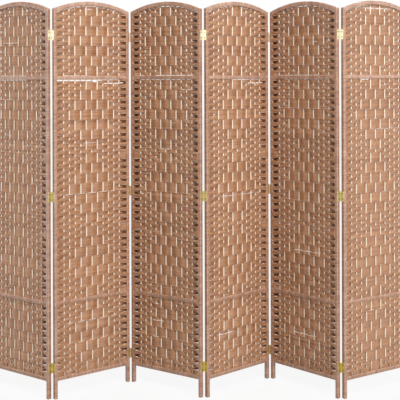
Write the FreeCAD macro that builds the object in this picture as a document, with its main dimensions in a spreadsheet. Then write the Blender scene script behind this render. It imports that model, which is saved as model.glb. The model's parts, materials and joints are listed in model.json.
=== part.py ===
import FreeCAD
import Part
import Sketcher

import os

# A folding screen of six arched wooden frames, each filled with a mat woven over upright stakes.
# Neighbouring frames are joined by three pinned butt hinges, with the pins alternately
# behind and in front of the frames, so that the screen folds up like an accordion.
# Each panel is modelled about its own axes: X along its width from the middle,
# Y towards its back from the middle of its thickness, and Z up from the floor.

SIZES = {
    "panel_width": 400.0,
    "panel_height": 1800.0,
    "arch_rise": 40.0,
    "arch_thickness": 20.0,
    "post_width": 16.0,
    "post_depth": 19.0,
    "post_edge_radius": 4.0,
    "leg_length": 80.0,
    "rail_height": 18.0,
    "rail_depth": 15.0,
    "lower_bay_height": 323.0,
    "upper_bay_height": 323.0,
    "tenon_length": 9.0,
    "tenon_height": 10.0,
    "tenon_depth": 8.0,
    "tenon_end_gap": 0.5,
    "crown_tenon_length": 6.0,
    "crown_tenon_width": 8.0,
    "stake_count": 11,
    "stake_pitch": 29.5,
    "stake_width": 6.0,
    "stake_thickness": 4.0,
    "stake_seat": 6.0,
    "stake_clearance": 0.5,
    "mat_layer": 4.5,
    "mat_clearance": 0.3,
    "leaf_height": 45.0,
    "leaf_thickness": 1.2,
    "leaf_margin": 4.0,
    "leaf_setback": 0.3,
    "pin_radius": 1.3,
    "pin_clearance": 0.05,
    "pin_standoff": 2.0,
    "knuckle_clearance": 0.3,
    "low_hinge_level": 138.0,
    "middle_hinge_level": 910.0,
    "top_hinge_drop": 160.0,
    "panel_1_angle": -36.0,
    "panel_2_angle": 37.0,
    "panel_3_angle": -34.0,
    "panel_4_angle": 41.5,
    "panel_5_angle": -45.5,
    "panel_6_angle": 32.5,
}
PANEL_COUNT = 6
BARREL_SIDES = 8
BORE_SIDES = 6
LEFT, RIGHT = -1, 1
FRONT, BACK = -1, 1

# Heights of the rails and of the woven bays between them.
LOWER_BAY_LEVEL = "(Sizes.leg_length + Sizes.rail_height)"
LOWER_RAIL_LEVEL = f"({LOWER_BAY_LEVEL} + Sizes.lower_bay_height)"
MIDDLE_BAY_LEVEL = f"({LOWER_RAIL_LEVEL} + Sizes.rail_height)"
CROWN_LEVEL = "(Sizes.panel_height - Sizes.arch_thickness)"
UPPER_BAY_LEVEL = f"({CROWN_LEVEL} - Sizes.upper_bay_height)"
UPPER_RAIL_LEVEL = f"({UPPER_BAY_LEVEL} - Sizes.rail_height)"
MIDDLE_BAY_HEIGHT = f"({UPPER_RAIL_LEVEL} - {MIDDLE_BAY_LEVEL})"
RAIL_LEVELS = {
    "bottom": "Sizes.leg_length",
    "lower": LOWER_RAIL_LEVEL,
    "upper": UPPER_RAIL_LEVEL,
}

# The arch is a ring segment round a point below its crown, cut level where it sits on the posts.
INNER_WIDTH = "(Sizes.panel_width - 2 * Sizes.post_width)"
OUTER_RADIUS = "((Sizes.panel_width ^ 2 / 4 + Sizes.arch_rise ^ 2) / (2 * Sizes.arch_rise))"
INNER_RADIUS = f"({OUTER_RADIUS} - Sizes.arch_thickness)"
ARCH_CENTRE = f"(Sizes.panel_height - {OUTER_RADIUS})"
POST_TOP = f"({ARCH_CENTRE} + sqrt({INNER_RADIUS} ^ 2 - {INNER_WIDTH} ^ 2 / 4))"
POST_OFFSET = "((Sizes.panel_width - Sizes.post_width) / 2)"

# The stakes stand evenly about the panel's middle, in one long slot or groove of every rail.
STAKE_FOOT = f"({LOWER_BAY_LEVEL} - Sizes.stake_seat)"
SLOT_LENGTH = (
    "((Sizes.stake_count - 1) * Sizes.stake_pitch + Sizes.stake_width + 2 * Sizes.stake_clearance)"
)

# A hinge leaf is rolled round the pin, which stands clear of the post's corner.
BARREL_RADIUS = "(Sizes.pin_radius + Sizes.leaf_thickness)"
PIN_REACH = f"(Sizes.panel_width / 2 + {BARREL_RADIUS} - Sizes.leaf_setback)"
PIN_OFFSET = "(Sizes.post_depth / 2 + Sizes.pin_standoff)"
LEAF_WIDTH = f"({PIN_OFFSET} + Sizes.post_depth / 2 - Sizes.leaf_margin)"
KNUCKLE_HEIGHT = "((Sizes.leaf_height - 2 * Sizes.knuckle_clearance) / 3)"
# The flats of a bore touch the round pin that is fixed in it, or clear one that turns in it.
FLAT_SHARE = f"cos(180 deg / {BORE_SIDES})"
FIXED_BORE_RADIUS = f"(Sizes.pin_radius / {FLAT_SHARE})"
RUNNING_BORE_RADIUS = f"((Sizes.pin_radius + Sizes.pin_clearance) / {FLAT_SHARE})"
HINGE_LEVELS = {
    "low": "Sizes.low_hinge_level",
    "middle": "Sizes.middle_hinge_level",
    "top": "Sizes.panel_height - Sizes.top_hinge_drop",
}
# Which face the pins are on at each joint, counted from the left end of the screen.
PIN_FACES = [BACK, FRONT, BACK, FRONT, BACK]

doc = FreeCAD.newDocument("folding_screen")
nodes = []


def make_sheet():
    """Write the driving sizes into the document's spreadsheet."""
    sheet = doc.addObject("Spreadsheet::Sheet", "Sizes")
    for row, (alias, value) in enumerate(SIZES.items(), start=1):
        sheet.set(f"A{row}", alias)
        sheet.set(f"B{row}", str(value))
        sheet.setAlias(f"B{row}", alias)
    doc.recompute()
    return sheet


def bind(item, expressions):
    """Tie an object's sizes and place to the sheet."""
    for key, expression in expressions.items():
        item.setExpression(key, expression)
    return item


def place_at(x, y, z):
    """Expressions that hold an object's base point."""
    return {"Placement.Base.x": x, "Placement.Base.y": y, "Placement.Base.z": z}


def box(name, sides, corner):
    """Box with the given sides along X, Y and Z and its low corner at the given point."""
    length, width, height = sides
    item = doc.addObject("Part::Box", name)
    return bind(item, {"Length": length, "Width": width, "Height": height, **place_at(*corner)})


def middle_box(name, sides, x, z):
    """Box centred on x and on the panel's middle plane, standing on level z."""
    length, width, _ = sides
    return box(name, sides, (f"{x} - {length} / 2", f"-{width} / 2", z))


def upright_prism(name, sides, radius, height, base):
    """Many-sided prism along Z from the given base point, for the barrels and bores of the hinges."""
    item = doc.addObject("Part::Prism", name)
    item.Polygon = sides
    return bind(item, {"Circumradius": radius, "Height": height, **place_at(*base)})


def upright_cylinder(name, radius, height, base):
    """Round bar along Z from the given base point."""
    item = doc.addObject("Part::Cylinder", name)
    return bind(item, {"Radius": radius, "Height": height, **place_at(*base)})


def arch_cylinder(name, radius, width):
    """Cylinder through the panel round the arch's centre line."""
    item = doc.addObject("Part::Cylinder", name)
    item.Placement.Rotation = FreeCAD.Rotation(FreeCAD.Vector(1, 0, 0), 90)
    base = place_at("0", f"{width} / 2", ARCH_CENTRE)
    return bind(item, {"Radius": radius, "Height": width, **base})


def boolean(kind, name, base, tool):
    """Cut a tool from a base, or keep what the two have in common."""
    item = doc.addObject(kind, name)
    item.Base = base
    item.Tool = tool
    return item


def fuse(name, *shapes):
    """Join shapes that overlap or touch into one solid."""
    item = doc.addObject("Part::MultiFuse", name)
    item.Shapes = list(shapes)
    return item


def group(name, solids):
    """Hold separate solids of one kind together as one sub-part."""
    item = doc.addObject("Part::Compound", name)
    item.Links = solids
    return item


def add_node(item, label, place):
    """Make an object a sub-part of the screen, in its panel's place."""
    item.Label = label
    item.Placement = place
    nodes.append(item)


def rounded_bar(name, width, depth, height, radius):
    """Upright bar of rectangular section with its long edges rounded."""
    body = doc.addObject("PartDesign::Body", name)
    plane = next(item for item in body.Origin.OriginFeatures if item.Role == "XY_Plane")
    sketch = body.newObject("Sketcher::SketchObject", f"{name}_section")
    sketch.AttachmentSupport = [(plane, "")]
    sketch.MapMode = "FlatFace"
    corners = [FreeCAD.Vector(x, y) for x, y in ((-1, -1), (1, -1), (1, 1), (-1, 1))]
    for start, end in zip(corners, corners[1:] + corners[:1]):
        sketch.addGeometry(Part.LineSegment(start, end), False)
    for side in range(4):
        following = (side + 1) % 4
        sketch.addConstraint(Sketcher.Constraint("Coincident", side, 2, following, 1))
        direction = "Horizontal" if side % 2 == 0 else "Vertical"
        sketch.addConstraint(Sketcher.Constraint(direction, side))
    sketch.addConstraint(Sketcher.Constraint("Symmetric", 0, 1, 2, 1, -1, 1))
    across = sketch.addConstraint(Sketcher.Constraint("DistanceX", 0, 1, 0, 2, 2.0))
    along = sketch.addConstraint(Sketcher.Constraint("DistanceY", 1, 1, 1, 2, 2.0))
    bind(sketch, {f"Constraints[{across}]": width, f"Constraints[{along}]": depth})
    pad = body.newObject("PartDesign::Pad", f"{name}_length")
    pad.Profile = sketch
    bind(pad, {"Length": height})
    doc.recompute()
    uprights = [
        f"Edge{index}"
        for index, edge in enumerate(pad.Shape.Edges, start=1)
        if abs(edge.tangentAt(edge.FirstParameter).z) > 0.5
    ]
    rounding = body.newObject("PartDesign::Fillet", f"{name}_rounding")
    rounding.Base = (pad, uprights)
    bind(rounding, {"Radius": radius})
    body.Tip = rounding
    return body


def post(name, side):
    """Side post with a tenon for the arch on top and mortises for the three rails."""
    bar = rounded_bar(
        f"{name}_bar", "Sizes.post_width", "Sizes.post_depth", POST_TOP, "Sizes.post_edge_radius"
    )
    offset = f"({side} * {POST_OFFSET})"
    bind(bar, {"Placement.Base.x": offset})
    crown_sides = ("Sizes.crown_tenon_width", "Sizes.tenon_depth", "Sizes.crown_tenon_length")
    crown_tenon = middle_box(f"{name}_crown_tenon", crown_sides, offset, POST_TOP)
    blank = fuse(f"{name}_blank", bar, crown_tenon)
    reach = "(Sizes.tenon_length + Sizes.tenon_end_gap)"
    mouth = f"({side} * ({INNER_WIDTH} / 2 + {reach} / 2))"
    mortises = [
        middle_box(
            f"{name}_{rail}_mortise",
            (reach, "Sizes.tenon_depth", "Sizes.tenon_height"),
            mouth,
            f"{level} + (Sizes.rail_height - Sizes.tenon_height) / 2",
        )
        for rail, level in RAIL_LEVELS.items()
    ]
    return boolean("Part::Cut", name, blank, fuse(f"{name}_mortises", *mortises))


def rail(name, level, slot_level):
    """Rail with a tenon at each end and a long slot for the stakes, from slot_level upwards."""
    bar_sides = (INNER_WIDTH, "Sizes.rail_depth", "Sizes.rail_height")
    bar = middle_box(f"{name}_bar", bar_sides, "0", level)
    tenon_sides = (
        f"({INNER_WIDTH} + 2 * Sizes.tenon_length)", "Sizes.tenon_depth", "Sizes.tenon_height"
    )
    tenon_level = f"{level} + (Sizes.rail_height - Sizes.tenon_height) / 2"
    tenons = middle_box(f"{name}_tenons", tenon_sides, "0", tenon_level)
    blank = fuse(f"{name}_blank", bar, tenons)
    slot_sides = (SLOT_LENGTH, "Sizes.stake_thickness", f"({level} + Sizes.rail_height - {slot_level})")
    slot = middle_box(f"{name}_slot", slot_sides, "0", slot_level)
    return boolean("Part::Cut", name, blank, slot)


def arch(name):
    """Arched top rail, level where it rests on the posts, with a groove for the stakes."""
    outer = arch_cylinder(f"{name}_outer", OUTER_RADIUS, "Sizes.post_depth")
    inner = arch_cylinder(f"{name}_inner", INNER_RADIUS, "Sizes.post_depth")
    ring = boolean("Part::Cut", f"{name}_ring", outer, inner)
    above_posts = f"(Sizes.panel_height - {POST_TOP})"
    span_sides = ("Sizes.panel_width", "Sizes.post_depth", above_posts)
    span = middle_box(f"{name}_span", span_sides, "0", POST_TOP)
    blank = boolean("Part::Common", f"{name}_blank", ring, span)
    groove_disc = arch_cylinder(
        f"{name}_groove_disc", f"({INNER_RADIUS} + Sizes.stake_seat)", "Sizes.stake_thickness"
    )
    groove_sides = (SLOT_LENGTH, "Sizes.stake_thickness", above_posts)
    groove_span = middle_box(f"{name}_groove_span", groove_sides, "0", POST_TOP)
    groove = boolean("Part::Common", f"{name}_groove", groove_disc, groove_span)
    mortise_sides = (
        "Sizes.crown_tenon_width",
        "Sizes.tenon_depth",
        "(Sizes.crown_tenon_length + Sizes.tenon_end_gap)",
    )
    mortises = [
        middle_box(f"{name}_{word}_mortise", mortise_sides, f"({side} * {POST_OFFSET})", POST_TOP)
        for word, side in (("left", LEFT), ("right", RIGHT))
    ]
    return boolean("Part::Cut", name, blank, fuse(f"{name}_hollows", groove, *mortises))


def stakes(name, count):
    """Flat upright stakes from the bottom rail's groove, through the rails, into the arch."""
    slats = []
    for index in range(count):
        x = f"({index - (count - 1) / 2} * Sizes.stake_pitch)"
        ceiling = f"sqrt(({INNER_RADIUS} + Sizes.stake_seat) ^ 2 - (abs({x}) + Sizes.stake_width / 2) ^ 2)"
        length = f"({ARCH_CENTRE} + {ceiling} - Sizes.stake_clearance - {STAKE_FOOT})"
        sides = ("Sizes.stake_width", "Sizes.stake_thickness", length)
        slats.append(middle_box(f"{name}_slat_{index + 1}", sides, x, STAKE_FOOT))
    return group(name, slats)


def mat(name):
    """The cords before and behind the stakes, as a front and a back layer in each of three bays."""
    layers = []
    for word, low_face in (("front", "(-Sizes.stake_thickness / 2 - Sizes.mat_layer)"),
                           ("back", "(Sizes.stake_thickness / 2)")):
        corner_x = f"-{INNER_WIDTH} / 2"
        for bay, level, height in (
            ("lower", LOWER_BAY_LEVEL, "Sizes.lower_bay_height"),
            ("middle", MIDDLE_BAY_LEVEL, MIDDLE_BAY_HEIGHT),
        ):
            sides = (INNER_WIDTH, "Sizes.mat_layer", height)
            layers.append(box(f"{name}_{bay}_{word}", sides, (corner_x, low_face, level)))
        crown_sides = (INNER_WIDTH, "Sizes.mat_layer", "Sizes.upper_bay_height")
        square = box(f"{name}_upper_{word}_sheet", crown_sides, (corner_x, low_face, UPPER_BAY_LEVEL))
        crown = arch_cylinder(
            f"{name}_upper_{word}_crown",
            f"({INNER_RADIUS} - Sizes.mat_clearance)",
            "(2 * Sizes.mat_layer + 2 * Sizes.stake_thickness)",
        )
        layers.append(boolean("Part::Common", f"{name}_upper_{word}", square, crown))
    return group(name, layers)


def hinge_leaf(name, holds_pin):
    """Hinge leaf about its pin: a plate rolled into the outer knuckles or the middle one."""
    foot = "-Sizes.leaf_height / 2"
    plate_sides = ("Sizes.leaf_thickness", LEAF_WIDTH, "Sizes.leaf_height")
    plate_corner = (f"Sizes.leaf_setback - {BARREL_RADIUS}", f"-{LEAF_WIDTH}", foot)
    plate = box(f"{name}_plate", plate_sides, plate_corner)
    axis_foot = ("0", "0", foot)
    barrel = upright_prism(f"{name}_barrel", BARREL_SIDES, BARREL_RADIUS, "Sizes.leaf_height", axis_foot)
    blank = fuse(f"{name}_blank", plate, barrel)
    bore_radius = FIXED_BORE_RADIUS if holds_pin else RUNNING_BORE_RADIUS
    bore = upright_prism(f"{name}_bore", BORE_SIDES, bore_radius, "Sizes.leaf_height", axis_foot)
    notch_side = f"(2 * {BARREL_RADIUS} + 2 * Sizes.knuckle_clearance)"
    if holds_pin:
        notch_height = f"({KNUCKLE_HEIGHT} + 2 * Sizes.knuckle_clearance)"
        notch_feet = [f"-{notch_height} / 2"]
    else:
        notch_height = f"((Sizes.leaf_height - {KNUCKLE_HEIGHT}) / 2)"
        notch_feet = [foot, f"{KNUCKLE_HEIGHT} / 2"]
    notches = [
        middle_box(f"{name}_notch_{index}", (notch_side, notch_side, notch_height), "0", notch_foot)
        for index, notch_foot in enumerate(notch_feet, start=1)
    ]
    return boolean("Part::Cut", name, blank, fuse(f"{name}_hollows", bore, *notches))


def leaf_turn(side, face):
    """Turn that brings a leaf, made for a right-hand edge with a pin behind, to another edge or face."""
    if (side, face) == (RIGHT, BACK):
        return FreeCAD.Rotation()
    half_turn_axis = {
        (LEFT, BACK): FreeCAD.Vector(0, 1, 0),
        (RIGHT, FRONT): FreeCAD.Vector(1, 0, 0),
        (LEFT, FRONT): FreeCAD.Vector(0, 0, 1),
    }[(side, face)]
    return FreeCAD.Rotation(half_turn_axis, 180)


def edge_leaves(name, side, face, holds_pin):
    """The three hinge leaves on one edge of a panel."""
    leaves = []
    for height, level in HINGE_LEVELS.items():
        leaf = hinge_leaf(f"{name}_{height}", holds_pin)
        leaf.Placement.Rotation = leaf_turn(side, face)
        leaves.append(bind(leaf, place_at(f"{side} * {PIN_REACH}", f"{face} * {PIN_OFFSET}", level)))
    return group(name, leaves)


def edge_pins(name, face):
    """The three hinge pins at a panel's right-hand edge."""
    pins = []
    for height, level in HINGE_LEVELS.items():
        base = (PIN_REACH, f"{face} * {PIN_OFFSET}", f"{level} - Sizes.leaf_height / 2")
        pins.append(upright_cylinder(f"{name}_{height}", "Sizes.pin_radius", "Sizes.leaf_height", base))
    return group(name, pins)


def panel_places(sheet):
    """Place of each panel as it stands, with the screen's footprint centred on the origin."""
    half_width = sheet.panel_width / 2
    half_depth = sheet.post_depth / 2
    reach = half_width + sheet.pin_radius + sheet.leaf_thickness - sheet.leaf_setback
    offset = half_depth + sheet.pin_standoff
    places = []
    for number in range(1, PANEL_COUNT + 1):
        angle = sheet.get(f"panel_{number}_angle")
        turn = FreeCAD.Rotation(FreeCAD.Vector(0, 0, 1), angle)
        base = FreeCAD.Vector()
        if places:
            face = PIN_FACES[number - 2]
            pin = places[-1].multVec(FreeCAD.Vector(reach, face * offset, 0))
            base = pin - turn.multVec(FreeCAD.Vector(-reach, face * offset, 0))
        places.append(FreeCAD.Placement(base, turn))
    footprint = FreeCAD.BoundBox()
    for place in places:
        for x in (-half_width, half_width):
            for y in (-half_depth, half_depth):
                footprint.add(place.multVec(FreeCAD.Vector(x, y, 0)))
    for place in places:
        place.Base = place.Base - footprint.Center
    return places


def build_panel(number, place, stake_count):
    """One panel's frame, stakes and mat."""
    name = f"panel_{number}"
    add_node(post(f"{name}_left_post", LEFT), f"{name}_left_post", place)
    add_node(post(f"{name}_right_post", RIGHT), f"{name}_right_post", place)
    add_node(arch(f"{name}_arch_rail"), f"{name}_arch_rail", place)
    bottom = rail(f"{name}_bottom_rail", RAIL_LEVELS["bottom"], STAKE_FOOT)
    add_node(bottom, f"{name}_bottom_rail", place)
    crossings = [
        rail(f"{name}_{word}_rail", RAIL_LEVELS[word], RAIL_LEVELS[word])
        for word in ("lower", "upper")
    ]
    add_node(group(f"{name}_cross_rails", crossings), f"{name}_cross_rails", place)
    add_node(stakes(f"{name}_stakes", stake_count), f"{name}_stakes", place)
    add_node(mat(f"{name}_mat"), f"{name}_mat", place)


def build_hinges(joint, left_place, right_place):
    """The three hinges between two panels: the left-hand leaves hold the pins."""
    name = f"hinge_{joint}{joint + 1}"
    face = PIN_FACES[joint - 1]
    add_node(edge_leaves(f"{name}_left_leaves", RIGHT, face, True), f"{name}_left_leaves", left_place)
    add_node(edge_leaves(f"{name}_right_leaves", LEFT, face, False), f"{name}_right_leaves", right_place)
    add_node(edge_pins(f"{name}_pins", face), f"{name}_pins", left_place)


def check_document():
    """Stop if any object failed to compute or any sub-part has no sound solid."""
    for item in doc.Objects:
        if "Invalid" in item.State or "Error" in item.State:
            raise RuntimeError(f"{item.Label} did not compute")
    for node in nodes:
        if node.Shape.isNull() or not node.Shape.isValid() or not node.Shape.Solids:
            raise RuntimeError(f"{node.Label} is not a sound solid")


def write_parts():
    """Write each sub-part to a file named for it."""
    os.makedirs("parts", exist_ok=True)
    for node in nodes:
        node.Shape.exportStep(f"parts/{node.Label}.step")


sizes = make_sheet()
panel_at = panel_places(sizes)
for panel_number in range(1, PANEL_COUNT + 1):
    build_panel(panel_number, panel_at[panel_number - 1], int(sizes.stake_count))
for joint_number in range(1, PANEL_COUNT):
    build_hinges(joint_number, panel_at[joint_number - 1], panel_at[joint_number])
doc.recompute()
check_document()
write_parts()
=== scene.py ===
import json
import math

import bmesh
import bpy
import numpy as np
from bpy.props import FloatProperty, FloatVectorProperty, IntProperty, PointerProperty
from mathutils import Matrix, Vector


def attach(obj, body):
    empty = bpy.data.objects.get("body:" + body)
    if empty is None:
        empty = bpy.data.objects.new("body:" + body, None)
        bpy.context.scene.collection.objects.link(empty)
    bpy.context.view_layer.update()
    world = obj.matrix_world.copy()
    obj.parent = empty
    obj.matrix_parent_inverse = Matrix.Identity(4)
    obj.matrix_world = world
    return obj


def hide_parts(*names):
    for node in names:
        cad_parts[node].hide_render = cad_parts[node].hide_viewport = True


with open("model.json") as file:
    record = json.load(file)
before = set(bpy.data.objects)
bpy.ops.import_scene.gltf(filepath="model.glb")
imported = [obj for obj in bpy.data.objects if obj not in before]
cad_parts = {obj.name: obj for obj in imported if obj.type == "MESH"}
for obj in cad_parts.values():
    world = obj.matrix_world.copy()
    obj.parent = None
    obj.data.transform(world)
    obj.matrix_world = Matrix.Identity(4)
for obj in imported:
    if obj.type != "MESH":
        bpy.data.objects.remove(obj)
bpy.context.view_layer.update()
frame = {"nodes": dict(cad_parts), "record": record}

bl_info = {
    "name": "Woven folding screen",
    "version": (1, 0, 0),
    "blender": (4, 5, 0),
    "location": "3D View > Sidebar > Screen",
    "description": "Dresses a folding screen's frames with woven and wound cord, stakes and hinges",
    "category": "Object",
}

MM = 0.001
PANELS = range(1, 7)
LEFT, RIGHT = -1, 1
FRONT, BACK = -1, 1

# Sizes of a panel, about its own axes: X along its width from the middle, Y towards its back, Z up.
HALF_WIDTH = 200 * MM
POST_WIDTH = 16 * MM
POST_DEPTH = 19 * MM
POST_ROUNDING = 2.5 * MM
POST_HEAD = 1757 * MM
INNER_HALF = HALF_WIDTH - POST_WIDTH
RAIL_HEIGHT = 18 * MM
RAIL_DEPTH = 15 * MM
RAIL_ROUNDING = 2.5 * MM
RAIL_FEET = {"bottom": 80 * MM, "lower": 421 * MM, "upper": 1439 * MM}
ARCH_CENTRE = 1280 * MM
ARCH_OUTER = 520 * MM
ARCH_INNER = 500 * MM
STAKE_COUNT = 11
STAKE_PITCH = 29.5 * MM
STAKE_PLACES = [(stake - (STAKE_COUNT - 1) / 2) * STAKE_PITCH for stake in range(STAKE_COUNT)]
STAKE_ROUNDING = 1.4 * MM
STAKE_STATIONS = 40
# A stake's typical bow, and the mean and spread of the stakes' shades.
STAKE_BOW = 0.3 * MM
STAKE_SHADES = (0.5, 0.2)
# How far cords, rails and stakes run into what holds them.
CORD_SEAT = 2 * MM
RAIL_SEAT = 1 * MM
STAKE_SEAT = 2 * MM

# Foot and head of each woven bay, and the rows of cord in it.
BAYS = {
    "lower": (98 * MM, 421 * MM, 21),
    "middle": (439 * MM, 1439 * MM, 65),
    "upper": (1457 * MM, 1780 * MM, 21),
}
BAND_ROWS = 3
DIAMOND_BANDS = 7
DIAMOND_PERIOD = BAND_ROWS * DIAMOND_BANDS + 1

# A cord's stations from a post to a stake and from stake to stake, the fewest that it may have
# under the arch, and the sides of its section.
POST_STATIONS = 6
STAKE_GAP_STATIONS = 4
FEWEST_STATIONS = 4
CORD_SIDES = 5
# Room from a cord's middle, in cord heights, to its bay's edges and up to the arch, and how far
# inside the arch its stations stay.
EDGE_ROOM = 0.4
ARCH_ROOM = 0.3
ARCH_MARGIN = 0.5 * MM
# Pockets beside the posts start just past the last stake and are full a little further on. There a
# cord swells, and shade is painted on its side that faces the pocket.
POCKET_START = STAKE_PLACES[-1] + 2 * MM
POCKET_EASE = 16 * MM
POCKET_SWELL = 0.15
POCKET_SHADE = 1.6
# Slits open over this length at each end, and push the rows beside them over about this many rows.
SLIT_EASE = 12 * MM
SLIT_ROWS = 1.3
# Random small slits: one to so many rows, and the room kept for one at the right.
ROWS_PER_SMALL_SLIT = 3
SMALL_SLIT_ROOM = 60 * MM
SMALL_SLIT_LENGTHS = (25 * MM, 70 * MM)
SMALL_SLIT_HEIGHTS = (0.2 * MM, 0.8 * MM)
# Typical irregularities: a row's sway, a cord's level and depth, and the shades of rows and cords.
ROW_SWAY = 0.2 * MM
SWAY_LENGTHS = (140 * MM, 320 * MM)
CORD_LIFT = 0.12 * MM
CORD_PUSH = 0.15 * MM
ROW_SHADE = 0.07
CORD_SHADE = 0.14

# Wound cord: where a turn's crest starts and ends in its pitch, how far it typically lies low, and
# the mean and spread of the turns' shades.
CREST_SHARES = (0.28, 0.72)
CREST_SINK = 0.1 * MM
WINDING_SHADES = (0.32, 0.12)
# How far the first two stations of a post lie low, which rounds its foot.
FOOT_SINKS = (3.0 * MM, 0.7 * MM)
# Turns over which the slant starts and ends, how much paler the highlight painted on the corners
# is, and how many twists lie from one point of a bar's section to the next.
SLANT_TURNS = 3
CORNER_HIGHLIGHT = 0.4
TWISTS_PER_POINT = 3.0

# How much of its rows a tube fills on its piece's unwrapped map.
CORD_MAP_SHARE = 0.9
WINDING_MAP_SHARE = 0.95
WINDING_SEED, STAKE_SEED, SCREW_SEED = 31, 71, 53

# Hinge sizes, about the pin: the leaf lies on the post's outer face and is rolled round the pin.
HINGE_LEVELS = (138 * MM, 910 * MM, 1640 * MM)
PIN_REACH = 202.2 * MM
PIN_OFFSET = 11.5 * MM
PIN_FACES = (BACK, FRONT, BACK, FRONT, BACK)
LEAF_HEIGHT = 45 * MM
LEAF_WIDTH = 18.5 * MM
LEAF_THICKNESS = 1.2 * MM
LEAF_ROUNDING = 2.5 * MM
LEAF_CORNER_STEPS = 4
BARREL_RADIUS = 2.5 * MM
BARREL_SIDES = 20
BARREL_BEVEL = 0.4 * MM
KNUCKLE_GAP = 0.3 * MM
# A screw's slot, its flat crown as a share of its head, how far its rim is sunk, and its place.
SCREW_SLOT = 0.7 * MM
SCREW_CROWN = 0.6
SCREW_SINK = 0.2 * MM
SCREW_STEPS = 9
SCREW_PLACE = 0.6 * LEAF_WIDTH
SHARP_ANGLE = math.radians(35)
# Heights at which the brass is still painted bright, and painted all dull: a painted reflection.
PAINTED_BRIGHT_LEVEL, PAINTED_DULL_LEVEL = 1600 * MM, 500 * MM

# Where the weave has slipped apart and daylight shows, by panel and bay:
# rows from the bay's head, from and to along the panel, and height, in millimetres.
SLITS = {
    (1, "upper"): ((11, -105, 6, 1.4), (21, -120, 60, 1.4)),
    (1, "middle"): ((0, -178, 62, 2.4), (6, -178, -28, 1.6), (17, -86, -40, 1.5)),
    (2, "upper"): ((1, -26, 10, 1.8), (21, -150, -24, 1.4)),
    (2, "middle"): (
        (0, -190, 40, 7.0), (0, 0, 160, 4.2), (1, 54, 182, 5.4), (19, -78, 26, 1.8),
        (34, -178, 124, 2.4),
    ),
    (2, "lower"): ((6, -147, 140, 1.8), (12, -85, 84, 1.5), (20, -176, -101, 2.2)),
    (3, "upper"): (
        (7, 124, 178, 2.2), (10, -168, -130, 2.0), (17, -86, -60, 1.6), (21, -165, -112, 1.6),
        (21, -66, 160, 2.0),
    ),
    (3, "middle"): (
        (0, -165, 158, 1.6), (2, 96, 158, 1.6), (3, 85, 174, 2.2), (12, -62, -34, 1.3),
        (15, -176, -128, 2.0), (21, -33, 31, 2.2), (34, 122, 174, 2.4), (35, -158, -108, 1.7),
    ),
    (3, "lower"): ((2, -66, -42, 2.4), (7, -86, -6, 2.2), (12, -84, -34, 1.6)),
    (4, "middle"): ((0, -40, 172, 3.4), (1, 64, 178, 4.6), (35, -110, 157, 1.4)),
    (4, "lower"): ((10, -168, -18, 2.4),),
    (5, "upper"): ((11, 40, 90, 1.4), (20, -178, -158, 1.6), (21, -150, 90, 1.0)),
    (5, "middle"): (
        (0, -132, 160, 1.0), (1, 144, 182, 1.8), (7, 140, 180, 1.6), (18, 144, 184, 2.2),
        (52, -62, 104, 1.2),
    ),
    (5, "lower"): ((0, -74, 178, 1.3), (1, 140, 168, 1.6), (11, -74, 76, 1.2)),
    (6, "upper"): ((1, -78, 100, 4.2),),
    (6, "middle"): (
        (0, -94, -32, 4.6), (3, 66, 180, 1.8), (10, -174, -112, 1.6), (15, -35, 182, 2.2),
        (16, 104, 182, 1.8), (34, 2, 150, 1.3),
    ),
    (6, "lower"): ((3, -52, 46, 1.1),),
}
# Panels whose topmost cord is missing under the arch.
CROWN_GAP_PANELS = (2, 3, 5)
# How far the painted shade is lifted from the pockets beside a post that the lamps reach into:
# 1 lifts it all. Pockets that aren't named here keep all of their painted shade.
LIT_POCKETS = {
    (2, LEFT): 1.0, (4, LEFT): 1.0, (6, LEFT): 1.0, (2, RIGHT): 0.5, (4, RIGHT): 0.5,
}
# Odd row edges, from a bay's head, that have no pocket beside the posts.
CLOSED_EDGES = (23, 45)

# Each lamp's name, the setting that holds its power, its place and its width, in metres.
LAMPS = (
    ("front_softbox", "front", (0.17, -3.5, 4.46), 0.84),
    ("side_softbox", "side", (6.7, -7.5, 4.5), 2.4),
    ("wall_softbox", "wall", (5.0, -1.9, 1.3), 2.2),
    ("far_wall_softbox", "far_wall", (-5.2, -0.2, 1.3), 1.8),
    ("back_softbox", "back", (2.0, 10.0, 7.0), 2.4),
    ("low_left_softbox", "low", (-2.1, -4.3, 1.95), 0.8),
    ("low_right_softbox", "low", (2.1, -4.3, 1.95), 0.8),
)
LAMP_AIM = (0, 0, 1)
WHITE = (1, 1, 1, 1)
# The floor's reach in metres, its glow to the camera, and how strongly light and shadow show on it.
FLOOR_REACH = 30.0
FLOOR_GLOW = 0.885
FLOOR_SHADOW = 0.45
# The camera looks level along +Y, with a lens shift in place of a tilt. Its place is in metres, and
# its sensor and lens are in millimetres.
CAMERA_PLACE = (0.0131, -4.2133, 1.4437)
CAMERA_SENSOR = 36.0
CAMERA_LENS = 81.417
CAMERA_SHIFT = -0.3042
CAMERA_LEAN = math.radians(0.185)


def smooth_step(value):
    """Ease from 0 to 1."""
    value = np.clip(value, 0.0, 1.0)
    return value * value * (3 - 2 * value)


def hex_colour(code):
    """Linear RGBA of an sRGB hex value."""
    linear = []
    for start in (1, 3, 5):
        part = int(code[start:start + 2], 16) / 255
        linear.append(part / 12.92 if part <= 0.04045 else ((part + 0.055) / 1.055) ** 2.4)
    return (*linear, 1.0)


def colour_property(name, description, code):
    """A colour that a user may change, given as an sRGB hex value."""
    return FloatVectorProperty(
        name=name, description=description, subtype="COLOR", size=4, min=0.0, max=1.0,
        default=hex_colour(code),
    )


def length_property(name, description, millimetres):
    """A length that a user may change."""
    return FloatProperty(
        name=name, description=description, unit="LENGTH", precision=5, min=0.0,
        default=millimetres * MM,
    )


def power_property(name, description, watts):
    """A lamp's power, which a user may change."""
    return FloatProperty(name=name, description=description, unit="POWER", min=0.0, default=watts)


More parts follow.
